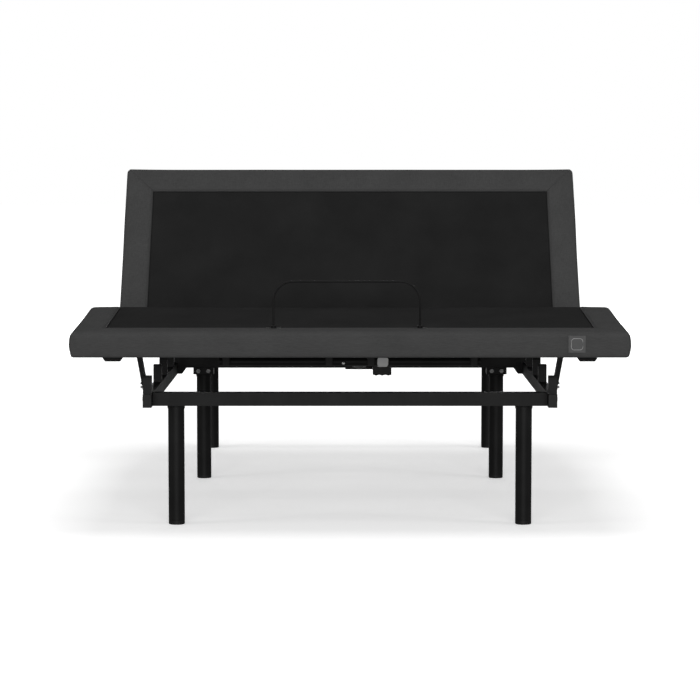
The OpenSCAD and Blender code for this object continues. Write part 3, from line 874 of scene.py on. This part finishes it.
def around(rows):
    """The outer vertices of a grid, in order."""
    right = [row[-1] for row in rows[1:-1]]
    left = [row[0] for row in reversed(rows[1:-1])]
    return rows[0] + right + list(reversed(rows[-1])) + left


def pad_places(low, high):
    """Grid places between two edges, close together near each edge."""
    inner = high - low - 2 * PAD_RIM
    count = max(2, round(inner / PAD_STEP))
    middle = [low + PAD_RIM + inner * i / count for i in range(1, count)]
    return ([low + f for f in PAD_EDGE_PLACES] + middle
            + [high - f for f in reversed(PAD_EDGE_PLACES)])


# ---------------------------------------------------------------------------
# small details
# ---------------------------------------------------------------------------


def rounded_outline(width, height, radius):
    """A rectangle with rounded corners, centred on the origin, as (x, z)."""
    outline = []
    for i, (sx, sz) in enumerate([(1, 1), (-1, 1), (-1, -1), (1, -1)]):
        for k in range(7):
            t = math.radians(90 * i + 15 * k)
            outline.append((sx * (width / 2 - radius) + radius * math.cos(t),
                            sz * (height / 2 - radius) + radius * math.sin(t)))
    return outline


def rounded_plate(name, width, height, radius, thick, material):
    """A plate with rounded corners in XZ, its face towards -Y, centred on the origin."""
    bm = bmesh.new()
    outline = rounded_outline(width, height, radius)
    rims = []
    for y, inset in ((0, 0), (-thick * 0.7, 0), (-thick, thick * 0.3)):
        shrink_x, shrink_z = 1 - 2 * inset / width, 1 - 2 * inset / height
        rims.append([bm.verts.new((x * shrink_x, y, z * shrink_z)) for x, z in outline])
    grid_faces(bm, rims, True)
    cap_ends(bm, rims)
    return new_piece(name, bm, material, False)


def ring_bm(place, radius, height, thick):
    """A round collar about a vertical line, its top at place."""
    bm = bmesh.new()
    profile = [(radius, 0), (radius + thick, -thick), (radius + thick, thick - height),
               (radius, -height)]
    rings = []
    for k in range(48):
        t = 2 * math.pi * k / 48
        rings.append([bm.verts.new((place[0] + r * math.cos(t), place[1] + r * math.sin(t),
                                    place[2] + z)) for r, z in profile])
    grid_faces(bm, rings + [rings[0]], True)
    return bm


COLLAR_H, COLLAR_THICK, COLLAR_DROP = 3 * MM, 0.5 * MM, 0.4 * MM


def make_leg_collars():
    """A thin collar at the top of each leg."""
    for row in ("front", "middle", "rear"):
        for side in ("left", "right"):
            low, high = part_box(f"{row}_{side}_leg")
            top = ((low.x + high.x) / 2, (low.y + high.y) / 2, high.z - COLLAR_DROP)
            ring = ring_bm(top, (high.x - low.x) / 2, COLLAR_H, COLLAR_THICK)
            collar = new_piece(f"{row}_{side}_leg_collar", ring, MATERIALS["black_steel"])
            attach(collar, "chassis")


BADGE_RIM_SIDE, BADGE_RIM_R, BADGE_RIM_CORD = 31 * MM, 8 * MM, 0.8 * MM


def make_badge_rim():
    """A thin raised rim on the blank badge."""
    low, high = corners_in(SECTIONS["foot"][0], "blank_badge")
    centre = (low + high) / 2
    outline = rounded_outline(BADGE_RIM_SIDE, BADGE_RIM_SIDE, BADGE_RIM_R)
    path = [Vector((x + centre.x, high.y, z + centre.z)) for x, z in outline]
    rim = tube("badge_rim", path + [path[0]], BADGE_RIM_CORD, badge_rim())
    finish_piece(rim, "foot")


def actuator_matrix(which):
    """Frame of an actuator: Y from its base pin towards its rod, X across the bed."""
    base = Vector(joint(f"{which}_actuator_swing")["pos_m"])
    along = Vector(joint(f"{which}_actuator_stroke")["axis"]).normalized()
    centre = sum(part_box(f"{which}_gearbox"), Vector()) / 2
    if (centre - base).dot(along) < 0:
        along = -along
    across = Vector((1, 0, 0))
    up = across.cross(along)
    if up.z < 0:
        up = -up
    turn = Matrix((across, along, up)).transposed().to_4x4()
    return Matrix.Translation((0, base.y, base.z)) @ turn


def place_on_actuator(piece, which, offset):
    """Moves a mesh by offset in its actuator's frame and puts it on the actuator's body."""
    piece.data.transform(Matrix.Translation(offset))
    piece.matrix_world = actuator_matrix(which)
    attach(piece, f"{which}_actuator")


MOTOR_LABEL = (32 * MM, 27 * MM, 5 * MM, 2 * MM)      # width, height, corner radius, thickness
MOTOR_LABEL_SINK, MOTOR_LABEL_RISE = 0.2 * MM, 11 * MM


def make_motor_details():
    """A plain pale plate on each motor's end face, and a ribbed cover under it."""
    pale = moulded_plastic("pale_label", 0.34, 0.5)
    for which in ("thigh", "head"):
        low, high = corners_in(actuator_matrix(which), f"{which}_motor")
        x, z = (low.x + high.x) / 2, (low.z + high.z) / 2
        plate = rounded_plate(f"{which}_motor_label", *MOTOR_LABEL, pale)
        plate.data.transform(Matrix.Scale(-1, 4, (0, 1, 0)))
        plate.data.flip_normals()
        on_face = (x, high.y - MOTOR_LABEL_SINK, z + MOTOR_LABEL_RISE)
        place_on_actuator(plate, which, on_face)
        place_on_actuator(motor_cover(which, low, high), which, (0, 0, 0))


COVER_TOP, COVER_SIDE_FOOT = 4 * MM, 2 * MM
COVER_WAVE, COVER_WAVES, COVER_STEPS = 1.2 * MM, 3, 24
COVER_BACK_GAP, COVER_FRONT_GAP = 6 * MM, 2 * MM


def motor_cover(which, low, high):
    """Ribbed cover under a motor: flat sides and a wavy bottom."""
    x, z, half = (low.x + high.x) / 2, (low.z + high.z) / 2, (high.x - low.x) / 2
    bm = bmesh.new()
    outline = [(-half, COVER_TOP), (-half, COVER_SIDE_FOOT - half)]
    for k in range(COVER_STEPS + 1):
        t = k / COVER_STEPS
        wave = COVER_WAVE * math.cos(2 * COVER_WAVES * math.pi * t)
        outline.append((half * (2 * t - 1), -half + wave))
    outline += [(half, COVER_SIDE_FOOT - half), (half, COVER_TOP)]
    rows = [[bm.verts.new((x + px, y, z + pz)) for px, pz in outline]
            for y in (low.y + COVER_BACK_GAP, high.y - COVER_FRONT_GAP)]
    grid_faces(bm, rows, True)
    cap_ends(bm, rows)
    return new_piece(f"{which}_motor_cover", bm, MATERIALS["black_plastic"], False)


LIFT_TUBE_FRONT = -188.7 * MM
LIFT_ARM_LEAN = math.radians(12.3)
LIFT_ARM_X = (-378, -64, 64, 378)
LIFT_LABEL_PLACE = (100 * MM, LIFT_TUBE_FRONT, 403 * MM)
LIFT_BOLT_PLACE = (-20 * MM, LIFT_TUBE_FRONT + 0.2 * MM, 399 * MM)
LIFT_BOLT_R, LIFT_BOLT_LENGTH = 5 * MM, 5 * MM
LIFT_FACE_OUT, LIFT_FACE_Z = 2.7 * MM, 404 * MM


def make_lift_tube_details():
    """On the thigh section's lift tube: a plain label, a bolt head, and the arms' front faces in
    a lighter copy of the black powder coat, which is painted light.
    """
    label = rounded_plate("lift_tube_label", 33 * MM, 25 * MM, 5 * MM, 1.6 * MM,
                          moulded_plastic("pale_cover", 0.30, 0.5))
    label.location = LIFT_LABEL_PLACE
    bolt = tube("lift_tube_bolt", [Vector((0, 0, 0)), Vector((0, -LIFT_BOLT_LENGTH, 0))],
                LIFT_BOLT_R, MATERIALS["zinc_steel"])
    bolt.location = LIFT_BOLT_PLACE
    pieces = [(label, "silver_aluminium"), (bolt, "zinc_steel")]
    for count, x in enumerate(LIFT_ARM_X):
        # Each arm's front face is a plate in the lighter powder coat copy: painted light on black
        # steel.
        face = rounded_plate(f"lift_arm_face_{count + 1}", 20 * MM, 26 * MM, 1 * MM, 1 * MM,
                             PAINTED_LIGHT_STEEL)
        face.location = (x * MM, LIFT_TUBE_FRONT - LIFT_FACE_OUT, LIFT_FACE_Z)
        face.rotation_euler.x = LIFT_ARM_LEAN
        pieces.append((face, "black_steel"))
    for piece, slot in pieces:
        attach(piece, "thigh_section")


# ---------------------------------------------------------------------------
# build
# ---------------------------------------------------------------------------

make_camera()
make_world()
make_floor()
for light_row in LIGHTS:
    area_light(*light_row)
paint_cad_nodes()
for section_name in SECTIONS:
    make_border(section_name)
    make_insert(section_name)
make_leg_collars()
make_badge_rim()
make_motor_details()
make_lift_tube_details()

scene = bpy.context.scene
scene.view_settings.view_transform = "Standard"
scene.view_settings.look = "None"
